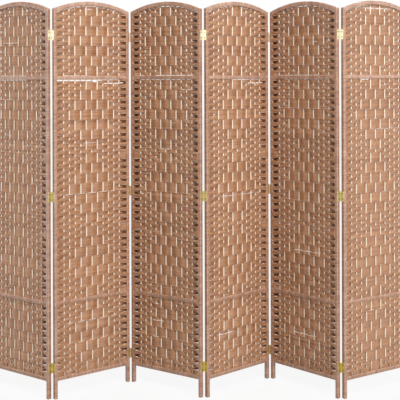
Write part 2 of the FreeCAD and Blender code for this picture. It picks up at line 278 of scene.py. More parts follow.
class ScreenWeaveSettings(bpy.types.PropertyGroup):
    """The woven cord."""

    cords_per_row: IntProperty(
        name="Cords per row", description="Cords that run side by side", default=4, min=2
    )
    cord_height: length_property("Cord height", "Height of a cord as it lies in the weave", 4.6)
    cord_depth: length_property("Cord depth", "Thickness of a cord through the panel", 3.5)
    swing: length_property(
        "Swing", "Distance of a cord's middle from the panel's middle at a stake", 3.9
    )
    pocket_depth: length_property(
        "Pocket depth", "Distance of a cord's middle from the panel's middle at a post", 7.6
    )
    bundle_spread: FloatProperty(
        name="Bundle spread", description="How far the cords in front of a post spread apart",
        default=1.2, min=1.0, max=1.6,
    )
    nesting: length_property(
        "Nesting", "How far rows on opposite sides of a stake slide past each other", 1.15
    )
    twist_length: length_property("Twist length", "Length of one turn of the paper's twist", 7.0)
    light_colour: colour_property("Light paper", "Colour of the palest cords", "#CF9A6E")
    dark_colour: colour_property("Dark paper", "Colour of the darkest cords", "#9D653D")
    # Painted shade: the colour painted onto the cords inside the pockets, where they lie in shade.
    pocket_shade_colour: colour_property(
        "Painted pocket shade", "Colour of the cords inside the pockets", "#472818"
    )
    seed: IntProperty(name="Seed", description="Changes the small irregularities", default=7)


class ScreenFrameSettings(bpy.types.PropertyGroup):
    """The cord wound round the frames, and the stakes in them."""

    winding_pitch: length_property("Winding pitch", "Distance from one turn to the next", 4.2)
    groove_depth: length_property("Groove depth", "Depth of the groove between two turns", 1.2)
    slant: length_property("Slant", "How far a turn leans along the bar over half its width", 1.6)
    # The pale end of the turns' shades, which the highlight painted on the corners reaches.
    light_colour: colour_property("Light paper", "Colour of the palest turns, and of the highlight painted on corners", "#DCB293")
    dark_colour: colour_property("Dark paper", "Colour of the darkest turns", "#935E40")
    stake_width: length_property("Stake width", "Width of a stake", 5.8)
    stake_depth: length_property("Stake depth", "Thickness of a stake", 4.0)
    stake_pale: colour_property("Pale wood", "Colour of the early wood in the stakes", "#FFF6E8")
    stake_grain: colour_property("Grain", "Colour of the grain in the stakes", "#F3E2C8")


class ScreenHingeSettings(bpy.types.PropertyGroup):
    """The hinges."""

    screw_radius: length_property("Screw head", "Radius of a screw's head", 3.4)
    screw_rise: length_property(
        "Screw rise", "How far a screw's head stands proud of the leaf", 0.6
    )
    screw_spacing: length_property(
        "Screw spacing", "Height between the two screws of a leaf", 24.0
    )
    brass_colour: colour_property("Brass", "Colour of the bright metal", "#DFD9C2")
    # The dull metal's colour serves both real tarnish in patches and the shade painted on lower
    # hinges.
    tarnish_and_dim_colour: colour_property("Tarnish", "Colour of tarnished metal, also painted in as shade on the lower hinges", "#D4C47E")
    screw_colour: colour_property("Screws", "Colour of the screws' metal", "#5A4A18")


class ScreenStageSettings(bpy.types.PropertyGroup):
    """The floor and the light."""

    floor_colour: colour_property("Floor", "Colour of the floor", "#7C7C7C")
    surround: FloatProperty(
        name="Surround", description="Brightness of the even light all round", default=0.27, min=0.0
    )
    front: power_property("Front", "Power of the high lamp in front", 98)
    side: power_property("Side", "Power of the lamp at the right", 476)
    wall: power_property("Wall", "Power of the panel far right", 40)
    far_wall: power_property("Far wall", "Power of the panel far left", 64)
    back: power_property("Back", "Power of the lamp behind", 300)
    low: power_property("Low", "Power of each low lamp in front", 14)


def add_node(tree, kind, inputs=None, **settings):
    """Add a shader node with its own settings, and its sockets' values or links."""
    node = tree.nodes.new(kind)
    for name, value in settings.items():
        setattr(node, name, value)
    for key, value in (inputs or {}).items():
        if isinstance(value, bpy.types.NodeSocket):
            tree.links.new(value, node.inputs[key])
        else:
            node.inputs[key].default_value = value
    return node


def new_material(name):
    """An empty material, and its node tree."""
    material = bpy.data.materials.new(name)
    material.use_nodes = True
    material.node_tree.nodes.clear()
    return material, material.node_tree


def paper_cord_material(name, light, dark, painted_shade):
    """Kraft paper twisted into cord and varnished: a soft gloss, and streaks along the twist.

    Each cord has a shade of its own, its tone. From 0 to 1 the tone runs from dark to light paper,
    and from 0 to -1 towards the painted shade colour that darkens the insides of the pockets.
    """
    material, tree = new_material(name)
    tone = add_node(tree, "ShaderNodeAttribute", attribute_name="tone").outputs["Fac"]
    lay = add_node(tree, "ShaderNodeUVMap", uv_map="cord_lay").outputs["UV"]
    # One turn of twist is one step of U, and once round the cord is one step of V.
    parts = add_node(tree, "ShaderNodeSeparateXYZ", {0: lay})
    along = parts.outputs["X"]
    turned = add_node(tree, "ShaderNodeMath", {0: along, 1: parts.outputs["Y"]}, operation="ADD")
    # Streaks four turns long and a third of a turn wide, different on each shade of cord.
    strand = add_node(tree, "ShaderNodeMath", {0: tone, 1: 40.0}, operation="MULTIPLY")
    streak_place = add_node(
        tree, "ShaderNodeCombineXYZ",
        {"X": along, "Y": turned.outputs[0], "Z": strand.outputs[0]},
    )
    stretched = add_node(
        tree, "ShaderNodeMapping", {"Vector": streak_place.outputs[0], "Scale": (0.25, 3.0, 1.0)}
    )
    streaks = add_node(
        tree, "ShaderNodeTexNoise",
        {"Vector": stretched.outputs[0], "Scale": 1.0, "Detail": 3.0, "Roughness": 0.6},
    ).outputs["Fac"]
    # Patches about 30 mm across, where the paper has taken up more or less dye.
    place = add_node(tree, "ShaderNodeTexCoord").outputs["Object"]
    patches = add_node(
        tree, "ShaderNodeTexNoise", {"Vector": place, "Scale": 33.0, "Detail": 2.0}
    ).outputs["Fac"]
    streak_part = add_node(
        tree, "ShaderNodeMath", {0: streaks, 1: 0.9, 2: -0.45}, operation="MULTIPLY_ADD"
    )
    patch_part = add_node(
        tree, "ShaderNodeMath", {0: patches, 1: 0.7, 2: -0.35}, operation="MULTIPLY_ADD"
    )
    streaked = add_node(
        tree, "ShaderNodeMath", {0: tone, 1: streak_part.outputs[0]}, operation="ADD"
    )
    shade = add_node(
        tree, "ShaderNodeMath", {0: streaked.outputs[0], 1: patch_part.outputs[0]},
        operation="ADD", use_clamp=True,
    )
    open_colour = add_node(
        tree, "ShaderNodeMix", {0: shade.outputs[0], 6: dark, 7: light}, data_type="RGBA"
    )
    # Painted shade: a tone below 0 blends the paper towards the painted shade colour.
    painted_shade_mask = add_node(
        tree, "ShaderNodeMath", {0: tone, 1: -1.0}, operation="MULTIPLY", use_clamp=True
    ).outputs[0]
    colour = add_node(
        tree, "ShaderNodeMix", {0: painted_shade_mask, 6: open_colour.outputs[2], 7: painted_shade},
        data_type="RGBA",
    )
    # The coat thins out where the pocket shade is painted, so the shaded pockets lose its gloss.
    varnish = add_node(tree, "ShaderNodeMath", {0: 1.0, 1: painted_shade_mask}, operation="SUBTRACT")
    # Two plies to a turn, with the streaks as finer wrinkles.
    angle = add_node(
        tree, "ShaderNodeMath", {0: turned.outputs[0], 1: 2 * math.tau}, operation="MULTIPLY"
    )
    ply = add_node(tree, "ShaderNodeMath", {0: angle.outputs[0]}, operation="SINE")
    height = add_node(
        tree, "ShaderNodeMath", {0: ply.outputs[0], 1: 0.35, 2: streaks}, operation="MULTIPLY_ADD"
    )
    bump = add_node(
        tree, "ShaderNodeBump",
        {"Height": height.outputs[0], "Strength": 0.5, "Distance": 0.3 * MM},
    ).outputs[0]
    surface = add_node(
        tree, "ShaderNodeBsdfPrincipled",
        {
            "Base Color": colour.outputs[2], "Roughness": 0.42, "IOR": 1.5,
            "Coat Weight": varnish.outputs[0], "Coat Roughness": 0.33,
            "Normal": bump, "Coat Normal": bump,
        },
    )
    add_node(tree, "ShaderNodeOutputMaterial", {"Surface": surface.outputs[0]})
    return material


def stake_wood_material(pale, grain_colour):
    """Planed poplar left bare: pale and matt, with fine grain along the stake."""
    material, tree = new_material("planed_bare_poplar")
    place = add_node(tree, "ShaderNodeTexCoord").outputs["Object"]
    # Grain lines about 1 mm wide and 80 mm long.
    stretched = add_node(
        tree, "ShaderNodeMapping", {"Vector": place, "Scale": (1000.0, 1000.0, 12.5)}
    )
    grain = add_node(
        tree, "ShaderNodeTexNoise", {"Vector": stretched.outputs[0], "Scale": 1.0, "Detail": 3.0}
    ).outputs["Fac"]
    tone = add_node(tree, "ShaderNodeAttribute", attribute_name="tone").outputs["Fac"]
    shade = add_node(
        tree, "ShaderNodeMath", {0: tone, 1: 0.5, 2: -0.25}, operation="MULTIPLY_ADD"
    )
    figure = add_node(
        tree, "ShaderNodeMath", {0: grain, 1: shade.outputs[0]}, operation="ADD", use_clamp=True
    )
    colour = add_node(
        tree, "ShaderNodeMix", {0: figure.outputs[0], 6: pale, 7: grain_colour}, data_type="RGBA"
    )
    bump = add_node(
        tree, "ShaderNodeBump", {"Height": grain, "Strength": 0.3, "Distance": 0.1 * MM}
    )
    surface = add_node(
        tree, "ShaderNodeBsdfPrincipled",
        {
            "Base Color": colour.outputs[2], "Roughness": 0.6, "IOR": 1.5,
            "Normal": bump.outputs[0],
        },
    )
    add_node(tree, "ShaderNodeOutputMaterial", {"Surface": surface.outputs[0]})
    return material


def brass_material(name, bright, dull, roughness):
    """Rolled or turned brass: a warm mirror softened by fine lines, and dulled in patches."""
    material, tree = new_material(name)
    place = add_node(tree, "ShaderNodeTexCoord").outputs["Object"]
    # Tarnish in patches about 6 mm across, and rolling lines about 0.4 mm apart.
    tarnish = add_node(
        tree, "ShaderNodeTexNoise", {"Vector": place, "Scale": 160.0, "Detail": 4.0}
    )
    stretched = add_node(
        tree, "ShaderNodeMapping", {"Vector": place, "Scale": (2500.0, 2500.0, 40.0)}
    )
    lines = add_node(
        tree, "ShaderNodeTexNoise", {"Vector": stretched.outputs[0], "Scale": 1.0, "Detail": 2.0}
    )
    # Painted reflection: bright at the top hinges, all dull from half a metre above the floor down.
    level = add_node(tree, "ShaderNodeSeparateXYZ", {0: place}).outputs["Z"]
    low = add_node(
        tree, "ShaderNodeMapRange",
        {
            "Value": level, "From Min": PAINTED_BRIGHT_LEVEL, "From Max": PAINTED_DULL_LEVEL,
            "To Min": -0.6, "To Max": 0.6,
        },
        clamp=True,
    )
    # Real tarnish in patches, plus the painted reflection that dims towards the floor.
    tarnish_and_painted_dim = add_node(
        tree, "ShaderNodeMath", {0: low.outputs[0], 1: tarnish.outputs["Fac"]},
        operation="ADD", use_clamp=True,
    )
    colour = add_node(
        tree, "ShaderNodeMix", {0: tarnish_and_painted_dim.outputs[0], 6: bright, 7: dull}, data_type="RGBA"
    )
    bump = add_node(
        tree, "ShaderNodeBump",
        {"Height": lines.outputs["Fac"], "Strength": 0.2, "Distance": 0.05 * MM},
    )
    surface = add_node(
        tree, "ShaderNodeBsdfPrincipled",
        {
            "Base Color": colour.outputs[2], "Metallic": 1.0, "Roughness": roughness,
            "Normal": bump.outputs[0],
        },
    )
    add_node(tree, "ShaderNodeOutputMaterial", {"Surface": surface.outputs[0]})
    return material


def panel_place(number):
    """Matrix from a panel's own axes to the screen's, from its two feet in the record."""
    feet = {mount["name"]: Vector(mount["pos_m"]) for mount in frame["record"]["mounts"]}
    left, right = feet[f"foot_{number}_left"], feet[f"foot_{number}_right"]
    along = (right - left).normalized()
    up = Vector((0, 0, 1))
    turn = Matrix((along, up.cross(along), up)).transposed().to_4x4()
    return Matrix.Translation((left + right) / 2) @ turn


def link_object(name, data):
    """A new object in the scene."""
    piece = bpy.data.objects.new(name, data)
    bpy.context.scene.collection.objects.link(piece)
    return piece


def settle(piece, place, body, slot, *nodes):
    """Put a piece in its panel's place, on its body, for any CAD nodes that it replaces."""
    piece.matrix_world = place
    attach(piece, body)
    if nodes:
        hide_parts(*nodes)


class MeshParts:
    """Vertices and faces of one mesh, gathered from rings that are joined into tubes."""

    def __init__(self):
        self.vertices, self.tones, self.loops, self.counts = [], [], [], []
        self.lays, self.map_places = [], []
        self.size = 0

    def add_tube(self, rings, tones, along, around, row_range):
        """Join rings (stations, sides, 3) into a closed tube.

        tones has one shade for each station, or one for each point of each ring.
        along is each station's place along the twist, and around each side's and one side more.
        row_range is the tube's lowest and highest row on the piece's unwrapped map.
        """
        stations, sides = rings.shape[:2]
        self.vertices.append(rings.reshape(-1, 3))
        self.tones.append(np.broadcast_to(tones.reshape(stations, -1), (stations, sides)).ravel())
        station, side = np.meshgrid(np.arange(stations - 1), np.arange(sides), indexing="ij")
        at_station = np.stack([station, station, station + 1, station + 1], -1).ravel()
        at_side = np.stack([side, side + 1, side + 1, side], -1).ravel()
        self.loops.append(at_station * sides + at_side % sides + self.size)
        self.counts.append(np.full(station.size, 4))
        self.lays.append(np.stack([along[at_station], around[at_side]], -1))
        low, high = row_range
        rows = low + (high - low) * at_side / sides
        self.map_places.append(np.stack([at_station / (stations - 1), rows], -1))
        for end, order in ((0, -1), (stations - 1, 1)):
            cap = np.arange(sides)[::order]
            self.loops.append(end * sides + cap + self.size)
            self.counts.append(np.array([sides]))
            self.lays.append(np.tile([along[end], 0.0], (sides, 1)))
            rows = low + (high - low) * cap / sides
            self.map_places.append(np.stack([np.full(sides, end / (stations - 1)), rows], -1))
        self.size += stations * sides

    def make_object(self, name, material):
        """Turn what was gathered into an object."""
        mesh = bpy.data.meshes.new(name)
        vertices = np.concatenate(self.vertices).astype(np.float32)
        loops = np.concatenate(self.loops).astype(np.int32)
        counts = np.concatenate(self.counts)
        mesh.vertices.add(len(vertices))
        mesh.vertices.foreach_set("co", vertices.ravel())
        mesh.loops.add(len(loops))
        mesh.loops.foreach_set("vertex_index", loops)
        mesh.polygons.add(len(counts))
        starts = np.concatenate([[0], np.cumsum(counts)[:-1]]).astype(np.int32)
        mesh.polygons.foreach_set("loop_start", starts)
        mesh.polygons.foreach_set("use_smooth", np.ones(len(counts), bool))
        mesh.update(calc_edges=True)
        tone = mesh.attributes.new("tone", "FLOAT", "POINT")
        tone.data.foreach_set("value", np.concatenate(self.tones).astype(np.float32))
        for layer, values in (("cord_lay", self.lays), ("OFBake", self.map_places)):
            uv = mesh.uv_layers.new(name=layer)
            uv.uv.foreach_set("vector", np.concatenate(values).astype(np.float32).ravel())
        mesh.materials.append(material)
        return link_object(name, mesh)


def map_rows(index, count, filled):
    """The lowest and highest row, on a piece's unwrapped map, of one of its tubes."""
    return index / count, (index + filled) / count


def stake_shows(row, stake):
    """Whether a stake shows before a row. Rows count from a bay's head, stakes from the left."""
    shows = (row + stake) % 2 == 0
    band, row_in_band = divmod(row % DIAMOND_PERIOD, BAND_ROWS)
    if band < DIAMOND_BANDS and row_in_band == 1:
        # The middle row of a band follows its neighbours inside the diamond: long stitches.
        half_span = min(band, DIAMOND_BANDS - 1 - band) + 1
        if abs(stake - STAKE_COUNT // 2) <= half_span:
            shows = not shows
    return shows


def opens_pocket(edge, row_count):
    """Whether the cords beside a row edge go behind the posts, with a pocket in front of them."""
    return edge % 2 == 1 and edge < row_count and edge not in CLOSED_EDGES


def pocket_share(distance):
    """How far a place lies inside the pockets, from its distance from the panel's middle."""
    return smooth_step((distance - POCKET_START) / POCKET_EASE)


def painted_pocket_shade(number, across):
    """How much shade is painted inside the pockets, along a panel."""
    return sum(
        (1 - LIT_POCKETS.get((number, side), 0.0)) * pocket_share(side * across)
        for side in (LEFT, RIGHT)
    )


def bay_slits(number, bay, overlap, random):
    """The slits of a bay: edge, start, end and height of those in SLITS, and of small random ones.

    overlap is how far neighbouring cords lie over each other, which a slit takes up to show.
    """
    row_count = BAYS[bay][2]
    slits = [
        (edge, start * MM, end * MM, height * MM + overlap)
        for edge, start, end, height in SLITS.get((number, bay), ())
    ]
    for _ in range(row_count // ROWS_PER_SMALL_SLIT):
        start = random.uniform(-INNER_HALF, INNER_HALF - SMALL_SLIT_ROOM)
        edge = int(random.integers(1, row_count))
        end = start + random.uniform(*SMALL_SLIT_LENGTHS)
        slits.append((edge, start, end, random.uniform(*SMALL_SLIT_HEIGHTS)))
    return slits


def slit_shift(slits, place, across, row_count):
    """How far a cord is pushed up where the rows have slipped apart."""
    shift = np.zeros_like(across)
    for edge, start, end, height in slits:
        distance = place - edge
        share = 1.0 if edge in (0, row_count) else 0.5
        window = smooth_step((across - start) / SLIT_EASE) * smooth_step((end - across) / SLIT_EASE)
        push = share * height * math.exp(-abs(distance) / SLIT_ROWS)
        shift -= np.sign(distance) * push * window
    return shift


def cord_depths(row, at_post, swing):
    """Stations across the panel from post to post, and a cord's depth at each."""
    end = INNER_HALF + CORD_SEAT
    knots = np.array([-end, *STAKE_PLACES, end])
    sides = [BACK if stake_shows(row, stake) else FRONT for stake in range(STAKE_COUNT)]
    levels = np.array([at_post, *(side * swing for side in sides), at_post])
    counts = [POST_STATIONS] + [STAKE_GAP_STATIONS] * (STAKE_COUNT - 1) + [POST_STATIONS]
    places, depths = [], []
    for index, count in enumerate(counts):
        share = np.arange(count) / count
        places.append(knots[index] + (knots[index + 1] - knots[index]) * share)
        depths.append(levels[index] + (levels[index + 1] - levels[index]) * smooth_step(share))
    return np.concatenate([*places, knots[-1:]]), np.concatenate([*depths, levels[-1:]])


def fit_under_arch(across, depth, level, cord_height):
    """Cut a cord of the upper bay to the arch. Returns nothing where the arch leaves no room."""
    top = level.max() + ARCH_ROOM * cord_height
    reach = math.sqrt(max(ARCH_INNER ** 2 - (top - ARCH_CENTRE) ** 2, 0.0)) + CORD_SEAT
    inside = np.flatnonzero(np.abs(across) < reach - ARCH_MARGIN)
    if len(inside) < FEWEST_STATIONS:
        return None
    if reach < INNER_HALF:
        chosen = np.concatenate([[inside[0] - 1], inside, [inside[-1] + 1]])
        across, depth, level = across[chosen], depth[chosen], level[chosen]
        across[0], across[-1] = -reach, reach
    return across, depth, level


def cord_course(row, place, edge, post_side, settings):
    """How a cord crosses the panel: its stations, and its depth, place in rows and lift at each.

    place counts rows from the bay's head, edge is the row edge that the cord is next to, and
    post_side is the side on which it passes the posts.
    """
    at_post = settings.pocket_depth * post_side
    beyond = row - 1 if edge == row else row + 1
    across, depth = cord_depths(row, at_post, settings.swing)
    _, depth_beyond = cord_depths(beyond, at_post, settings.swing)
    # Rows that pass a stake on opposite sides slide past each other, outermost cords furthest.
    apart = np.abs(depth - depth_beyond) / (2 * settings.swing)
    outermost = abs(place - row - 0.5) / (0.5 - 0.5 / settings.cords_per_row)
    lift = settings.nesting * outermost * apart * (1 if edge == row else -1)
    # Cords in front of a post spread apart from their row edge.
    spread = settings.bundle_spread if edge % 2 == 0 else 1.0
    places = place + (place - edge) * (spread - 1) * pocket_share(np.abs(across))
    return across, depth, places, lift


def add_cord(parts, course, painted_shade, post_side, tone, rows, settings):
    """Lay a cord along its course, with shade painted on it towards the pockets."""
    across, depth, level = course
    around = np.arange(CORD_SIDES + 1) / CORD_SIDES
    turn = around[:-1] * math.tau
    swell = 1 + POCKET_SWELL * pocket_share(np.abs(across))
    half_height = settings.cord_height / 2 * swell
    rings = np.empty((len(across), CORD_SIDES, 3))
    rings[:, :, 0] = across[:, None]
    rings[:, :, 1] = depth[:, None] - settings.cord_depth / 2 * np.sin(turn)
    rings[:, :, 2] = level[:, None] + half_height[:, None] * np.cos(turn)
    # Painted shade: the cord's side that faces the pocket is darkened by POCKET_SHADE.
    inward = np.clip(np.sin(turn) * post_side, 0.0, 1.0)
    tones = tone - POCKET_SHADE * painted_shade[:, None] * inward
    parts.add_tube(rings, tones, across / settings.twist_length, around, rows)


def weave_bay(number, bay, settings):
    """The cords of one bay, each passing before and behind the stakes."""
    foot, head, row_count = BAYS[bay]
    random = np.random.default_rng([settings.seed, number, row_count, int(foot / MM)])
    row_height = (head - foot) / row_count
    cords = settings.cords_per_row
    slits = bay_slits(number, bay, settings.cord_height - row_height / cords, random)
    room = EDGE_ROOM * settings.cord_height
    parts = MeshParts()
    for row in range(row_count):
        sway = random.normal(0, ROW_SWAY)
        sway_length = random.uniform(*SWAY_LENGTHS)
        sway_start = random.uniform(0, math.tau)
        row_tone = random.normal(0, ROW_SHADE)
        for cord in range(cords):
            place = row + (cord + 0.5) / cords
            edge = row if cord < cords / 2 else row + 1
            post_side = BACK if opens_pocket(edge, row_count) else FRONT
            across, depth, places, lift = cord_course(row, place, edge, post_side, settings)
            level = head - row_height * places + lift
            level = level + sway * np.sin(across / sway_length * math.tau + sway_start)
            level = level + slit_shift(slits, place, across, row_count)
            level = np.clip(level + random.normal(0, CORD_LIFT), foot + room, head - room)
            depth = depth + random.normal(0, CORD_PUSH)
            tone = np.clip(0.5 + row_tone + random.normal(0, CORD_SHADE), 0.0, 1.0)
            course = across, depth, level
            index = row * cords + cord
            if bay == "upper":
                if number in CROWN_GAP_PANELS and index == 0:
                    continue
                course = fit_under_arch(*course, settings.cord_height)
                if course is None:
                    continue
            # How much shade is painted on the cord towards the pockets.
            painted_shade = painted_pocket_shade(number, course[0])
            rows = map_rows(index, row_count * cords, CORD_MAP_SHARE)
            add_cord(parts, course, painted_shade, post_side, tone, rows, settings)
    return parts


class SCREEN_OT_weave(bpy.types.Operator):
    """Weave the cords of every panel over and under its stakes, in diamonds"""

    bl_idname = "screen.weave"
    bl_label = "Weave the panels"

    def execute(self, context):
        settings = context.scene.screen_weave
        paper = paper_cord_material(
            "twisted_kraft_paper_woven", tuple(settings.light_colour), tuple(settings.dark_colour),
            tuple(settings.pocket_shade_colour),
        )
        for number in PANELS:
            name, place = f"panel_{number}", panel_place(number)
            for bay in BAYS:
                parts = weave_bay(number, bay, settings)
                piece = parts.make_object(f"{name}_{bay}_weave", paper)
                settle(piece, place, name, "paper_cord", f"{name}_mat")
        return {"FINISHED"}


def rounded_section(width, depth, rounding, corner_steps=3):
    """Points round a rectangle with rounded corners, and the outward direction at each."""
    points, normals = [], []
    for quarter, (x, y) in enumerate(((1, 1), (-1, 1), (-1, -1), (1, -1))):
        centre = np.array([x * (width / 2 - rounding), y * (depth / 2 - rounding)])
        for step in range(corner_steps + 1):
            angle = (quarter + step / corner_steps) * math.pi / 2
            normal = np.array([math.cos(angle), math.sin(angle)])
            points.append(centre + rounding * normal)
            normals.append(normal)
    return np.array(points), np.array(normals)


def winding_stations(length, settings, random, round_foot):
    """Places along a wound bar, with how far each lies below the surface and its shade."""
    turns = max(int(length / settings.winding_pitch), 1)
    pitch = length / turns
    places, sinks, tones = [], [], []
    for turn_index in range(turns):
        crest = abs(random.normal(0, CREST_SINK))
        tone = np.clip(random.normal(*WINDING_SHADES), 0.0, 1.0)
        places += [(turn_index + share) * pitch for share in (0.0, *CREST_SHARES)]
        sinks += [settings.groove_depth, crest, crest]
        tones += [tone, tone, tone]
    places.append(length)
    sinks.append(settings.groove_depth)
    tones.append(tones[-1])
    if round_foot:
        sinks[:2] = np.maximum(sinks[:2], FOOT_SINKS)
    return np.array(places), np.array(sinks), np.array(tones)


def winding(length, section, settings, random, round_foot=False):
    """Cord wound round a bar: each point's place in the section and along the bar, and its lay.

    The lay is what a tube has besides its rings: shades, and places along and round the bar.
    """
    points, normals = section
    places, sinks, tones = winding_stations(length, settings, random, round_foot)
    flat = points[None, :, :] - sinks[:, None, None] * normals[None, :, :]
    # The turns slant, but not at the bar's ends.
    to_end = np.minimum(places, length - places)
    fade = np.minimum(1.0, to_end / (SLANT_TURNS * settings.winding_pitch))
    lean = settings.slant * points[None, :, 0] / np.abs(points[:, 0]).max() * fade[:, None]
    # Painted highlight: paler along the corners, where the rounded edges face the lamps.
    corner = 2 * np.abs(normals[:, 0] * normals[:, 1])
    shades = tones[:, None] + CORNER_HIGHLIGHT * corner[None, :]
    around = np.arange(len(points) + 1) * TWISTS_PER_POINT
    return flat, places[:, None] + lean, (shades, places / settings.winding_pitch, around)


def wound_bar(parts, start, axes, length, section, settings, random, rows, round_foot=False):
    """Wind cord round a straight bar. axes are the section's two directions and the bar's own."""
    across, through, along = (np.array(axis, float) for axis in axes)
    flat, places, lay = winding(length, section, settings, random, round_foot)
    rings = (
        np.array(start, float)
        + flat[:, :, :1] * across
        + flat[:, :, 1:] * through
        + places[:, :, None] * along
    )
    parts.add_tube(rings, *lay, rows)


def wound_arch(parts, section, settings, random):
    """Wind cord along the arched top rail."""
    sweep = 2 * math.asin(HALF_WIDTH / ARCH_OUTER)
    radius = (ARCH_OUTER + ARCH_INNER) / 2
    flat, places, lay = winding(sweep * radius, section, settings, random)
    angles = places / radius - sweep / 2
    reach = radius + flat[:, :, 1]
    rings = np.stack(
        [reach * np.sin(angles), flat[:, :, 0], ARCH_CENTRE + reach * np.cos(angles)], -1
    )
    parts.add_tube(rings, *lay, map_rows(0, 1, WINDING_MAP_SHARE))


class SCREEN_OT_wind_frames(bpy.types.Operator):
    """Wind cord round every post, rail and arch"""

    bl_idname = "screen.wind_frames"
    bl_label = "Wind the frames"

    def execute(self, context):
        settings = context.scene.screen_frame
        paper = paper_cord_material(
            "twisted_kraft_paper_wound", tuple(settings.light_colour), tuple(settings.dark_colour),
            tuple(settings.dark_colour),
        )
        x_axis, y_axis, z_axis = (1, 0, 0), (0, 1, 0), (0, 0, 1)
        post_section = rounded_section(POST_WIDTH, POST_DEPTH, POST_ROUNDING)
        rail_section = rounded_section(RAIL_DEPTH, RAIL_HEIGHT, RAIL_ROUNDING)
        arch_section = rounded_section(POST_DEPTH, ARCH_OUTER - ARCH_INNER, POST_ROUNDING)
        rail_length = 2 * (INNER_HALF + RAIL_SEAT)
        for number in PANELS:
            name, place = f"panel_{number}", panel_place(number)
            random = np.random.default_rng([WINDING_SEED, number])
            for word, side in (("left", LEFT), ("right", RIGHT)):
                parts = MeshParts()
                start = (side * (HALF_WIDTH - POST_WIDTH / 2), 0, 0)
                wound_bar(
                    parts, start, (x_axis, y_axis, z_axis), POST_HEAD, post_section, settings,
                    random, map_rows(0, 1, WINDING_MAP_SHARE), round_foot=True,
                )
                piece = parts.make_object(f"{name}_{word}_post_winding", paper)
                settle(piece, place, name, "wrapped_wood", f"{name}_{word}_post")
            for node, rails in (("bottom_rail", ("bottom",)), ("cross_rails", ("lower", "upper"))):
                parts = MeshParts()
                for index, rail in enumerate(rails):
                    start = (-rail_length / 2, 0, RAIL_FEET[rail] + RAIL_HEIGHT / 2)
                    wound_bar(
                        parts, start, (y_axis, z_axis, x_axis), rail_length, rail_section, settings,
                        random, map_rows(index, len(rails), WINDING_MAP_SHARE),
                    )
                piece = parts.make_object(f"{name}_{node}_winding", paper)
                settle(piece, place, name, "wrapped_wood", f"{name}_{node}")
            parts = MeshParts()
            wound_arch(parts, arch_section, settings, random)
            piece = parts.make_object(f"{name}_arch_winding", paper)
            settle(piece, place, name, "wrapped_wood", f"{name}_arch_rail")
        return {"FINISHED"}


class SCREEN_OT_stakes(bpy.types.Operator):
    """Set the stakes between the bottom rail and the arch of every panel"""

    bl_idname = "screen.stakes"
    bl_label = "Set the stakes"

    def execute(self, context):
        settings = context.scene.screen_frame
        wood = stake_wood_material(tuple(settings.stake_pale), tuple(settings.stake_grain))
        points, _ = rounded_section(
            settings.stake_width, settings.stake_depth, STAKE_ROUNDING, corner_steps=2
        )
        around = np.arange(len(points) + 1) / len(points)
        foot = RAIL_FEET["bottom"] + RAIL_HEIGHT - STAKE_SEAT
        for number in PANELS:
            name = f"panel_{number}"
            random = np.random.default_rng([STAKE_SEED, number])
            parts = MeshParts()
            for stake, middle in enumerate(STAKE_PLACES):
                head = ARCH_CENTRE + math.sqrt(ARCH_INNER ** 2 - middle ** 2) + STAKE_SEAT
                levels = np.linspace(foot, head, STAKE_STATIONS)
                share = (levels - foot) / (head - foot)
                bow = random.normal(0, STAKE_BOW) * np.sin(math.pi * share)
                rings = np.empty((len(levels), len(points), 3))
                rings[:, :, 0] = middle + bow[:, None] + points[None, :, 0]
                rings[:, :, 1] = points[None, :, 1]
                rings[:, :, 2] = levels[:, None]
                tones = np.full(len(levels), np.clip(random.normal(*STAKE_SHADES), 0.0, 1.0))
                rows = map_rows(stake, STAKE_COUNT, CORD_MAP_SHARE)
                parts.add_tube(rings, tones, share, around, rows)
            piece = parts.make_object(f"{name}_bare_stakes", wood)
            settle(piece, panel_place(number), name, "stake_wood", f"{name}_stakes")
        return {"FINISHED"}


def join_rings(mesh, rings):
    """Join rings of bmesh vertices into a closed tube with flat ends."""
    count = len(rings[0])
    for low, high in zip(rings, rings[1:]):
        for index in range(count):
            after = (index + 1) % count
            mesh.faces.new((low[index], low[after], high[after], high[index]))
    mesh.faces.new(rings[0][::-1])
    mesh.faces.new(rings[-1])


def add_knuckle(mesh, foot, height, matrix):
    """A barrel round the pin, with bevelled ends."""
    narrow = BARREL_RADIUS - BARREL_BEVEL
    profile = (
        (narrow, 0.0), (BARREL_RADIUS, BARREL_BEVEL),
        (BARREL_RADIUS, height - BARREL_BEVEL), (narrow, height),
    )
    rings = []
    for radius, rise in profile:
        ring = []
        for side in range(BARREL_SIDES):
            angle = side / BARREL_SIDES * math.tau
            spot = Vector((radius * math.cos(angle), radius * math.sin(angle), foot + rise))
            ring.append(mesh.verts.new(matrix @ spot))
        rings.append(ring)
    join_rings(mesh, rings)


def add_leaf_plate(mesh, matrix):
    """The flat of a leaf, from the pin's line to its outer edge, with rounded outer corners."""
    half = LEAF_HEIGHT / 2
    outline = [(0.0, -half), (0.0, half)]
    for sign in (1, -1):
        for step in range(LEAF_CORNER_STEPS + 1):
            share = step / LEAF_CORNER_STEPS
            angle = (share if sign == 1 else 1 - share) * math.pi / 2
            outline.append((
                -LEAF_WIDTH + LEAF_ROUNDING * (1 - math.sin(angle)),
                sign * (half - LEAF_ROUNDING * (1 - math.cos(angle))),
            ))
    near = HALF_WIDTH - PIN_REACH
    sheets = [
        [mesh.verts.new(matrix @ Vector((x, y, z))) for y, z in outline]
        for x in (near, near + LEAF_THICKNESS)
    ]
    join_rings(mesh, sheets)


